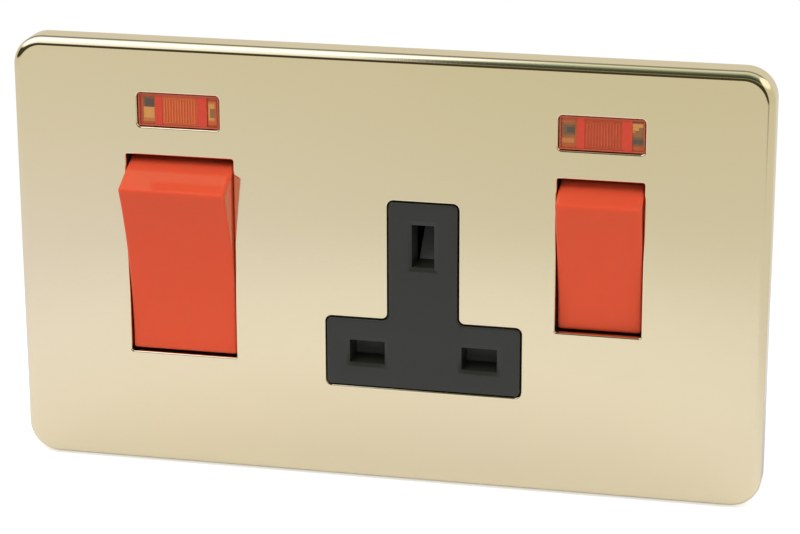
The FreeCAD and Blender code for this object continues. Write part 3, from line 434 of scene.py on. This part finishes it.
def rolled_edge(skin, outer, settings, front, back):
    """Adds the rolled edge and its inside, and gives the rings where the two flat faces begin."""
    radius = settings.edge_radius
    sheet = settings.sheet
    inside = front + sheet
    inner_radius = radius - sheet
    rim = skin.ring(outer, 0, back)
    rings = [(skin.ring(outer, radius * (cosine - 1), front + radius * (1 - sine)), (cosine, -sine))
             for sine, cosine in quarter(EDGE_STEPS)]
    skin.band(rim, rings[0][0], (1, 0), (1, 0))
    skin.bands(rings)
    front_ring = rings[-1][0]
    inner_rim = skin.ring(outer, -sheet, back)
    skin.band(inner_rim, rim, (0, 1), (0, 1))
    rings = [(skin.ring(outer, -sheet + inner_radius * (cosine - 1), inside + inner_radius * (1 - sine)),
              (-cosine, sine)) for sine, cosine in quarter(INSIDE_STEPS)]
    skin.band(rings[0][0], inner_rim, (-1, 0), (-1, 0))
    skin.bands(rings[::-1])
    return front_ring, rings[-1][0]


def cut_out(skin, hole, settings, front):
    """Adds the wall of one hole with its softened edge, and gives its rings on the two flat faces."""
    cut = settings.cut_radius
    rings = [(skin.ring(hole, cut * (1 - sine), front + cut * (1 - cosine)), (-sine, -cosine))
             for sine, cosine in quarter(CUT_STEPS)]
    skin.bands(rings)
    wall = skin.ring(hole, 0, front + settings.sheet)
    skin.band(rings[-1][0], wall, (-1, 0), (-1, 0))
    return rings[0][0], wall


def build_front_plate(settings):
    """Brass plate with a rolled edge and five cut-outs with slightly rounded edges."""
    low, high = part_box("front_plate")
    outer = rounded_loop(high.x - low.x, high.z - low.z, settings.corner_radius, 0, 0, CORNER_STEPS)
    skin = Skin()
    pairs = [rolled_edge(skin, outer, settings, low.y, high.y)]
    for hole in plate_holes():
        pairs.append(cut_out(skin, hole, settings, low.y))
    skin.flat([front_ring for front_ring, inside_ring in pairs], Vector((0, -1, 0)))
    skin.flat([inside_ring for front_ring, inside_ring in pairs], Vector((0, 1, 0)))
    plate = skin.finish("brass_plate", brass_finish(settings))
    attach(plate, "base")
    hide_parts("front_plate")


def brass_finish(settings):
    """Polished brass under clear lacquer."""
    material, tree, shader = new_shader("Polished brass")
    place = add_node(tree, "ShaderNodeTexCoord").outputs["Object"]
    drift = noise(tree, place, DRIFT_GRAIN, detail=2.0)
    fine = noise(tree, place, POLISH_GRAIN, detail=2.0)
    red, green, blue = settings.brass
    greener = (red * GREEN_DRIFT, green, blue * GREEN_DRIFT)
    tree.links.new(blended(tree, drift, (red, green, blue), greener), shader.inputs["Base Color"])
    roughness = settings.roughness
    tree.links.new(grained(tree, fine, roughness * 0.85, roughness * 1.15), shader.inputs["Roughness"])
    shader.inputs["Metallic"].default_value = 1.0
    relief = add_node(tree, "ShaderNodeBump", {"Height": fine, "Strength": POLISH_RELIEF,
                                               "Distance": POLISH_DEPTH})
    tree.links.new(relief.outputs["Normal"], shader.inputs["Normal"])
    return material


# Lamp windows

# Size of a window, and of the blocks that make it up, in millimetres
WINDOW_WIDTH = 16.2
WINDOW_HEIGHT = 6.5
WINDOW_DEPTH = 1.0
BLOCK_EDGE = 0.04
# Corners of a block that lie this near to each other in depth, in metres, are at one level
LEVEL_REACH = 0.0000001
# Ribs of the clear plastic; tops, bottoms and depths are from the window's top and front
RIBS = 12
RIB_PITCH = 0.55
RIB_CENTRE = 8.3
RIB_HALF = 0.13
RIB_TOP = 1.0
RIB_BOTTOM = 5.6
RIB_FRONT = 0.06
RIB_BACK = 0.5
RIB_EDGE = 0.08
# Depth of the first painted reflection block behind the window's front, and how much nearer each later one
# lies
PAINTED_REFLECTION_DEPTH = 0.45
PAINTED_REFLECTION_STEP = 0.03
WINDOW_COLOURS = {
    "rim": (0.52, 0.095, 0.040),
    "ember": (0.55, 0.072, 0.021),
    "copper": (0.58, 0.098, 0.026),
    "red": (0.67, 0.056, 0.020),
    "orange": (0.64, 0.106, 0.025),
    "rib": (0.71, 0.160, 0.036),
    "amber": (0.66, 0.30, 0.070),
    "honey": (0.56, 0.19, 0.048),
    "umber": (0.19, 0.10, 0.046),
    "brown": (0.30, 0.13, 0.045),
    "rust": (0.52, 0.12, 0.028),
    "grey": (0.10, 0.075, 0.050),
}
# Painted reflections in the clear ends, as (left, right, top, bottom, colour) from the window's top left
# corner
WINDOW_PAINTED_REFLECTIONS = {
    "cooker": [
        (0.35, 0.95, 0.6, 6.3, "rim"),
        (0.95, 3.35, 0.75, 6.2, "rust"),
        (1.0, 3.25, 0.85, 2.8, "umber"),
        (1.35, 3.0, 1.2, 2.65, "grey"),
        (0.95, 3.3, 5.0, 5.7, "honey"),
        (1.0, 3.25, 2.8, 5.0, "amber"),
        (13.9, 15.7, 1.0, 5.8, "orange"),
        (14.0, 15.45, 1.3, 5.1, "honey"),
        (14.1, 15.2, 1.6, 4.8, "amber"),
        (14.35, 15.4, 2.5, 4.3, "brown"),
    ],
    "socket": [
        (0.3, 2.95, 0.6, 6.3, "rust"),
        (0.35, 2.95, 1.4, 4.1, "brown"),
        (0.8, 2.9, 1.8, 3.7, "umber"),
        (1.4, 2.85, 2.2, 3.3, "grey"),
        (0.4, 2.85, 4.3, 5.3, "honey"),
        (13.75, 16.0, 0.7, 5.1, "brown"),
        (13.75, 15.8, 0.85, 1.6, "amber"),
        (13.75, 15.0, 1.6, 2.2, "amber"),
        (13.75, 14.4, 2.2, 2.7, "honey"),
        (13.8, 15.9, 3.6, 4.9, "umber"),
        (13.9, 15.8, 3.95, 4.7, "grey"),
    ],
}
# Rim, strips and bars across the ribs, as (left, right, top, bottom, depth of the front, colour)
WINDOW_BODY = [
    (0.0, 16.2, 0.0, 0.35, -0.02, "rim"),
    (0.0, 16.2, 6.2, 6.5, -0.02, "rim"),
    (0.0, 0.3, 0.35, 6.2, -0.02, "rim"),
    (15.9, 16.2, 0.35, 6.2, -0.02, "rim"),
    (0.3, 15.9, 0.35, 6.2, 0.46, "rust"),
    (3.3, 4.8, 0.35, 6.2, 0.10, "red"),
    (11.8, 13.8, 0.35, 6.2, 0.10, "red"),
    (4.8, 11.8, 0.35, 6.2, 0.22, "orange"),
    (4.9, 11.7, 0.85, 1.0, 0.08, "rib"),
    (4.9, 11.7, 5.6, 5.75, 0.08, "rib"),
]
# Colours that are darker in the socket's window
SOCKET_SHADES = {"orange": "ember", "rib": "copper"}


def window_block(net, low, high, slot, turn=BLOCK_EDGE):
    """Small block between two corners, with its front edges softened by turn, all in millimetres."""
    made = bmesh.ops.create_cube(net, size=1.0)
    centre = (Vector(low) + Vector(high)) / 2 * MM
    size = (Vector(high) - Vector(low)) * MM
    for vert in made["verts"]:
        vert.co = Vector((vert.co.x * size.x, vert.co.y * size.y, vert.co.z * size.z)) + centre
    faces = {face for vert in made["verts"] for face in vert.link_faces}
    for face in faces:
        face.material_index = slot
    front = min(vert.co.y for vert in made["verts"])
    edges = {edge for face in faces for edge in face.edges
             if all(abs(vert.co.y - front) < LEVEL_REACH for vert in edge.verts)}
    bevelled = bmesh.ops.bevel(net, geom=list(edges), offset=turn * MM, segments=2, affect="EDGES",
                               profile=0.5)
    for face in bevelled["faces"]:
        face.material_index = slot


def window_colours():
    """Glossy finishes of the parts that show in a lamp window."""
    colours = {}
    for name, colour in WINDOW_COLOURS.items():
        colours[name] = surface("Window " + name, colour, 0.18, grain=900.0, spread=0.12)
    return colours


def build_window(side, colours):
    """Lamp window: rim, red strips, ribbed centre and painted reflections in the clear ends."""
    low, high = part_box(side + "_neon_lens")
    left = (low.x + high.x) / 2 / MM - WINDOW_WIDTH / 2
    top = (low.z + high.z) / 2 / MM + WINDOW_HEIGHT / 2
    front = low.y / MM
    back = front + WINDOW_DEPTH
    slots = {name: index for index, name in enumerate(colours)}
    if side == "socket":
        for usual, darker in SOCKET_SHADES.items():
            slots[usual] = slots[darker]
    net = bmesh.new()
    for x0, x1, z0, z1, sink, colour in WINDOW_BODY:
        window_block(net, (left + x0, front + sink, top - z1), (left + x1, back, top - z0), slots[colour])
    for index in range(RIBS):
        x = left + RIB_CENTRE + (index - (RIBS - 1) / 2) * RIB_PITCH
        window_block(net, (x - RIB_HALF, front + RIB_FRONT, top - RIB_BOTTOM),
                     (x + RIB_HALF, front + RIB_BACK, top - RIB_TOP), slots["rib"], RIB_EDGE)
    # Painted reflections: coloured blocks in the clear ends that stand in for what the ends mirror
    for level, (x0, x1, z0, z1, colour) in enumerate(WINDOW_PAINTED_REFLECTIONS[side]):
        depth = front + PAINTED_REFLECTION_DEPTH - PAINTED_REFLECTION_STEP * level
        window_block(net, (left + x0, depth, top - z1), (left + x1, back, top - z0), slots[colour])
    mesh = bpy.data.meshes.new(side + "_window")
    net.to_mesh(mesh)
    net.free()
    for material in colours.values():
        mesh.materials.append(material)
    piece = new_object(side + "_window", mesh)
    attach(piece, "base")
    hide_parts(side + "_neon_lens")


# Stage

# Colours of the surroundings that the metal mirrors
MIRRORED = {
    "lower left": (0.92, 0.91, 1.24),
    "lower right": (0.78, 0.77, 0.88),
    "upper left": (0.70, 0.69, 0.66),
    "upper right": (0.64, 0.635, 0.565),
    "behind": (0.70, 0.67, 0.60),
    "ahead": (0.055, 0.045, 0.022),
    "far right": (1.15, 1.15, 1.10),
}
# Limits, along one axis of a direction, between which one mirrored colour gives way to the next
LIMITS = {
    "left to right": (-0.40, -0.12),
    "lower to upper": (-0.40, -0.20),
    "behind": (0.3, 0.6),
    "ahead, depth": (-0.05, 0.10),
    "ahead, bottom": (-0.22, -0.15),
    "ahead, top": (0.26, 0.44),
    "ahead, right end": (0.45, 0.58),
    "overhead, height": (0.28, 0.48),
    "overhead, depth": (0.84, 0.88),
    "softbox to shade": (-0.185, -0.150),
    "far right": (0.50, 0.58),
}
# How much the dark zone's bottom drops to the right, and how far the shade's edge moves left in front
AHEAD_DROP = 0.16
SHADE_DEPTH = (-0.6, 0.0)
SHADE_SHIFT = 0.045
# Colours of the soft light overhead, and of the shade beside it, along the depth of the view
SOFTBOX_BANDS = [
    (-0.90, (1.00, 1.02, 1.20)),
    (-0.60, (1.15, 1.20, 1.40)),
    (-0.40, (1.80, 1.90, 2.20)),
    (-0.15, (1.50, 1.60, 2.00)),
    (0.00, (1.20, 1.25, 1.60)),
    (0.30, (1.20, 1.25, 1.50)),
    (0.38, (0.25, 0.27, 0.29)),
    (0.76, (0.25, 0.27, 0.29)),
    (0.84, (0.70, 0.67, 0.60)),
]
SHADE_BANDS = [
    (-0.90, (0.045, 0.050, 0.036)),
    (-0.62, (0.075, 0.088, 0.066)),
    (-0.40, (0.20, 0.25, 0.22)),
    (-0.12, (0.52, 0.63, 0.58)),
    (0.10, (0.72, 0.76, 0.70)),
    (0.28, (0.90, 0.84, 0.74)),
    (0.38, (0.28, 0.30, 0.30)),
    (0.76, (0.28, 0.30, 0.30)),
    (0.84, (0.70, 0.67, 0.60)),
]
# Light that the room sheds on the unit from below, from above and from the right, and where each gives way
ROOM_LOW = (0.80, 0.80, 0.80)
ROOM_HIGH = (1.0, 1.0, 1.0)
ROOM_RIGHT = (1.35, 1.35, 1.35)
ROOM_RISE = (-0.2, 0.6)
ROOM_TURN = (-0.2, 0.9)
# Floor in metres: half its side, its drop below the unit, and the reach over which it fades out
FLOOR_HALF = 0.6
FLOOR_DROP = 0.0004
FADE_START = 0.07
FADE_END = 0.20
# Colours of the floor and the specks in it per metre, and its glow in other light and as the camera sees it
FLOOR_DARK = (0.86, 0.87, 0.97)
FLOOR_LIGHT = (0.89, 0.90, 1.0)
FLOOR_GRAIN = 60.0
GLOW_COLOUR = (1.0, 0.985, 0.94)
GLOW = 0.035
GLOW_SEEN = 0.55
# Camera: lens and film width in millimetres, its place in metres, and the directions to its right and ahead
CAMERA_LENS = 126.29
CAMERA_FILM = 36.0
CAMERA_PLACE = (0.11524, -0.50810, 0.16787)
CAMERA_RIGHT = (0.97617, 0.21699, -0.00210)
CAMERA_AHEAD = (-0.20706, 0.92853, -0.30814)
# Soft light: its place and its sides in metres
KEY_PLACE = (-0.25, -0.45, 0.75)
KEY_WIDTH = 0.5
KEY_DEPTH = 0.4


def banded(tree, value, bands):
    """Colour that runs through bands of a value between -1 and 1."""
    node = add_node(tree, "ShaderNodeValToRGB", {"Fac": mapped(tree, value, -1.0, 1.0, 0.0, 1.0)})
    stops = node.color_ramp.elements
    stops[0].position = (bands[0][0] + 1) / 2
    stops[-1].position = (bands[-1][0] + 1) / 2
    for place, colour in bands[1:-1]:
        stops.new((place + 1) / 2)
    for stop, (place, colour) in zip(stops, bands):
        stop.color = (*colour, 1.0)
    return node.outputs["Color"]


def mirrored_room(tree, x, y, z):
    """Colour that a mirror shows in a direction: pale, dark ahead, with a soft light and shade overhead."""
    across = rising(tree, x, *LIMITS["left to right"])
    lower = blended(tree, across, MIRRORED["lower left"], MIRRORED["lower right"])
    upper = blended(tree, across, MIRRORED["upper left"], MIRRORED["upper right"])
    colour = blended(tree, rising(tree, z, *LIMITS["lower to upper"]), lower, upper)
    colour = blended(tree, rising(tree, y, *LIMITS["behind"]), colour, MIRRORED["behind"])
    height = add_node(tree, "ShaderNodeMath", {0: x, 1: AHEAD_DROP, 2: z},
                      operation="MULTIPLY_ADD").outputs[0]
    ahead = product(tree, falling(tree, y, *LIMITS["ahead, depth"]),
                    rising(tree, height, *LIMITS["ahead, bottom"]))
    ahead = product(tree, ahead, falling(tree, z, *LIMITS["ahead, top"]))
    ahead = product(tree, ahead, falling(tree, x, *LIMITS["ahead, right end"]))
    colour = blended(tree, ahead, colour, MIRRORED["ahead"])
    shift = mapped(tree, y, *SHADE_DEPTH, SHADE_SHIFT, 0.0)
    edge = add_node(tree, "ShaderNodeMath", {0: x, 1: shift}, operation="ADD").outputs[0]
    softbox = banded(tree, y, SOFTBOX_BANDS)
    shade = banded(tree, y, SHADE_BANDS)
    over = blended(tree, rising(tree, edge, *LIMITS["softbox to shade"]), softbox, shade)
    over = blended(tree, rising(tree, x, *LIMITS["far right"]), over, MIRRORED["far right"])
    overhead = product(tree, rising(tree, z, *LIMITS["overhead, height"]),
                       falling(tree, y, *LIMITS["overhead, depth"]))
    return blended(tree, overhead, colour, over)


def build_surroundings(settings):
    """Room that lights the unit, with its own look in mirrors and plain white for the camera."""
    world = bpy.data.worlds.new("Studio")
    bpy.context.scene.world = world
    world.use_nodes = True
    tree = world.node_tree
    tree.nodes.clear()
    output = tree.nodes.new("ShaderNodeOutputWorld")
    direction = add_node(tree, "ShaderNodeTexCoord").outputs["Generated"]
    parts = add_node(tree, "ShaderNodeSeparateXYZ", {"Vector": direction})
    x, y, z = (parts.outputs[axis] for axis in ("X", "Y", "Z"))
    colour = mirrored_room(tree, x, y, z)
    mirrored = add_node(tree, "ShaderNodeBackground", {"Color": colour, "Strength": 1.0})
    room = blended(tree, rising(tree, z, *ROOM_RISE), ROOM_LOW, ROOM_HIGH)
    room = blended(tree, mapped(tree, x, *ROOM_TURN, 0.0, 1.0), room, ROOM_RIGHT)
    diffuse = add_node(tree, "ShaderNodeBackground", {"Color": room, "Strength": settings.sky_level})
    plain = add_node(tree, "ShaderNodeBackground", {"Color": (1.0, 1.0, 1.0, 1.0), "Strength": 1.0})
    path = add_node(tree, "ShaderNodeLightPath")
    light = add_node(tree, "ShaderNodeMixShader", {0: path.outputs["Is Glossy Ray"], 1: diffuse.outputs[0],
                                                   2: mirrored.outputs[0]})
    mix = add_node(tree, "ShaderNodeMixShader", {0: path.outputs["Is Camera Ray"], 1: light.outputs[0],
                                                 2: plain.outputs[0]})
    tree.links.new(mix.outputs[0], output.inputs["Surface"])


def build_floor(level):
    """Pale floor that fades out round the unit."""
    mesh = bpy.data.meshes.new("floor")
    corners = [(x * FLOOR_HALF, y * FLOOR_HALF, level) for x, y in ((-1, -1), (1, -1), (1, 1), (-1, 1))]
    mesh.from_pydata(corners, [], [(0, 1, 2, 3)])
    material, tree, shader = new_shader("Floor")
    place = add_node(tree, "ShaderNodeTexCoord").outputs["Object"]
    speck = noise(tree, place, FLOOR_GRAIN)
    tree.links.new(blended(tree, speck, FLOOR_DARK, FLOOR_LIGHT), shader.inputs["Base Color"])
    shader.inputs["Roughness"].default_value = 0.9
    shader.inputs["Specular IOR Level"].default_value = 0.1
    away = add_node(tree, "ShaderNodeVectorMath", {0: place}, operation="LENGTH").outputs["Value"]
    tree.links.new(falling(tree, away, FADE_START, FADE_END), shader.inputs["Alpha"])
    path = add_node(tree, "ShaderNodeLightPath")
    shader.inputs["Emission Color"].default_value = (*GLOW_COLOUR, 1.0)
    tree.links.new(mapped(tree, path.outputs["Is Camera Ray"], 0.0, 1.0, GLOW, GLOW_SEEN),
                   shader.inputs["Emission Strength"])
    mesh.materials.append(material)
    new_object("floor", mesh)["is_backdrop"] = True


def build_camera():
    """Camera a little above and to the right of the unit."""
    data = bpy.data.cameras.new("Camera")
    data.lens = CAMERA_LENS
    data.sensor_width = CAMERA_FILM
    data.clip_start = 0.01
    camera = new_object("Camera", data)
    right = Vector(CAMERA_RIGHT).normalized()
    ahead = Vector(CAMERA_AHEAD).normalized()
    up = right.cross(ahead)
    turn = Matrix((right, up, -ahead)).transposed().to_4x4()
    camera.matrix_world = Matrix.Translation(Vector(CAMERA_PLACE)) @ turn
    bpy.context.scene.camera = camera


def build_key_light(settings):
    """Large soft light overhead at the left."""
    data = bpy.data.lights.new("Key light", "AREA")
    data.shape = "RECTANGLE"
    data.size = KEY_WIDTH
    data.size_y = KEY_DEPTH
    data.energy = settings.key_power
    light = new_object("Key light", data)
    light.location = KEY_PLACE
    light.rotation_euler = (-Vector(KEY_PLACE)).to_track_quat("-Z", "Y").to_euler()
    light.visible_glossy = False
    light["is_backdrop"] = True


# Operators


class BuildOperator:
    """Options that all operators share."""

    bl_options = {"REGISTER", "UNDO"}


class BuildFrontPlate(BuildOperator, bpy.types.Operator):
    """Build the brass front plate with its rolled edge and cut-outs"""

    bl_idname = "cooker_unit.front_plate"
    bl_label = "Front Plate"

    def execute(self, context):
        build_front_plate(context.scene.cooker_unit_plate)
        return {"FINISHED"}


class FinishMouldings(BuildOperator, bpy.types.Operator):
    """Give the rockers, the socket face, the shutter and the hidden mouldings their plastics"""

    bl_idname = "cooker_unit.mouldings"
    bl_label = "Mouldings"

    def execute(self, context):
        settings = context.scene.cooker_unit_mouldings
        red = surface("Red moulding", settings.red, 0.10, grain=300.0, spread=0.015, gloss=0.22,
                      tint=(1.0, 0.85, 0.45), scatter=0.6)
        black = surface("Black moulding", settings.black, 0.33, grain=3000.0, spread=0.1, bump=0.04)
        shutter = shutter_finish(settings)
        dark = surface("Matt black plastic", (0.03, 0.03, 0.03), 0.55, grain=2500.0, spread=0.12, bump=0.06)
        nylon = surface("Nylon", (0.74, 0.72, 0.66), 0.4, grain=2500.0, spread=0.03)
        for name in ("cooker_rocker", "socket_rocker"):
            smooth_frame_node(name, red)
        smooth_frame_node("front_moulding", black)
        smooth_frame_node("pin_shutter", shutter)
        for name in ("plate_carrier", "rear_housing"):
            smooth_frame_node(name, dark)
        for name in ("socket_plunger", "cooker_line_plunger", "cooker_neutral_plunger"):
            smooth_frame_node(name, nylon)
        return {"FINISHED"}


class FinishMetals(BuildOperator, bpy.types.Operator):
    """Give the yoke, the conductors, the terminals, the screws and the springs their metals"""

    bl_idname = "cooker_unit.metals"
    bl_label = "Metals"

    def execute(self, context):
        zinc = surface("Zinc plated sheet", (0.62, 0.63, 0.62), 0.32, 1.0, grain=700.0, spread=0.08)
        copper = surface("Copper", (0.80, 0.44, 0.30), 0.25, 1.0, grain=900.0, spread=0.07)
        brass = surface("Stamped brass", (0.80, 0.62, 0.34), 0.25, 1.0, grain=900.0, spread=0.06)
        terminal = surface("Machined brass", (0.82, 0.66, 0.38), 0.3, 1.0, grain=1200.0, spread=0.06)
        steel = surface("Plated steel", (0.70, 0.70, 0.68), 0.22, 1.0, grain=1200.0, spread=0.06)
        wire = surface("Spring wire", (0.55, 0.55, 0.54), 0.3, 1.0, grain=1200.0, spread=0.06)
        finishes = {
            zinc: ["mounting_yoke"],
            copper: ["line_feed_bar", "neutral_bar", "line_load_bar", "neutral_load_bar", "line_link",
                     "socket_switch_bar", "socket_blade", "cooker_line_blade", "cooker_neutral_blade"],
            brass: ["line_socket_contact", "neutral_socket_contact", "earth_socket_contact", "earth_strap"],
            terminal: ["line_feed_terminal", "neutral_feed_terminal", "line_load_terminal",
                       "neutral_load_terminal", "earth_terminal"],
            steel: ["terminal_screws", "housing_screws"],
            wire: ["shutter_spring", "socket_plunger_spring", "cooker_line_spring",
                   "cooker_neutral_spring"],
        }
        for material, names in finishes.items():
            for name in names:
                smooth_frame_node(name, material)
        return {"FINISHED"}


class BuildWindows(BuildOperator, bpy.types.Operator):
    """Build the two lamp windows and finish what lies behind them"""

    bl_idname = "cooker_unit.windows"
    bl_label = "Lamp Windows"

    def execute(self, context):
        colours = window_colours()
        glass = surface("Lamp glass", (0.80, 0.55, 0.40), 0.1, grain=2000.0, spread=0.05)
        coat = surface("Resistor coat", (0.60, 0.47, 0.28), 0.5, grain=2000.0, spread=0.05)
        for side in ("cooker", "socket"):
            build_window(side, colours)
            smooth_frame_node(side + "_neon_lamp", glass)
            smooth_frame_node(side + "_neon_resistor", coat)
        return {"FINISHED"}


class BuildStage(BuildOperator, bpy.types.Operator):
    """Build the surroundings, the floor, the light and the camera"""

    bl_idname = "cooker_unit.stage"
    bl_label = "Stage"

    def execute(self, context):
        settings = context.scene.cooker_unit_stage
        build_surroundings(settings)
        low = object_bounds()[0]
        build_floor(low[2] - FLOOR_DROP)
        build_key_light(settings)
        build_camera()
        context.scene.view_settings.view_transform = "Standard"
        return {"FINISHED"}


class CookerUnitPanel(bpy.types.Panel):
    """Buttons for each step of the build."""

    bl_idname = "VIEW3D_PT_cooker_unit"
    bl_label = "Cooker Control Unit"
    bl_space_type = "VIEW_3D"
    bl_region_type = "UI"
    bl_category = "Cooker Unit"

    def draw(self, context):
        layout = self.layout
        scene = context.scene
        for settings in (scene.cooker_unit_plate, scene.cooker_unit_mouldings, scene.cooker_unit_stage):
            box = layout.box()
            for key in settings.bl_rna.properties.keys():
                if key not in ("rna_type", "name"):
                    box.prop(settings, key)
        for operator in OPERATORS:
            layout.operator(operator.bl_idname)


SETTINGS = {
    "cooker_unit_plate": PlateSettings,
    "cooker_unit_mouldings": MouldingSettings,
    "cooker_unit_stage": StageSettings,
}
OPERATORS = (BuildFrontPlate, FinishMouldings, FinishMetals, BuildWindows, BuildStage)


def register():
    """Registers the settings, the operators and the panel."""
    for name, group in SETTINGS.items():
        bpy.utils.register_class(group)
        setattr(bpy.types.Scene, name, bpy.props.PointerProperty(type=group))
    for operator in OPERATORS:
        bpy.utils.register_class(operator)
    bpy.utils.register_class(CookerUnitPanel)


def unregister():
    """Takes the panel, the operators and the settings away again."""
    bpy.utils.unregister_class(CookerUnitPanel)
    for operator in reversed(OPERATORS):
        bpy.utils.unregister_class(operator)
    for name, group in SETTINGS.items():
        delattr(bpy.types.Scene, name)
        bpy.utils.unregister_class(group)


def main():
    """Builds the whole scene through the operators."""
    register()
    for step in (bpy.ops.cooker_unit.front_plate, bpy.ops.cooker_unit.mouldings, bpy.ops.cooker_unit.metals,
                 bpy.ops.cooker_unit.windows, bpy.ops.cooker_unit.stage):
        if step() != {"FINISHED"}:
            raise RuntimeError("a step of the build was cancelled")


if __name__ == "__main__":
    main()
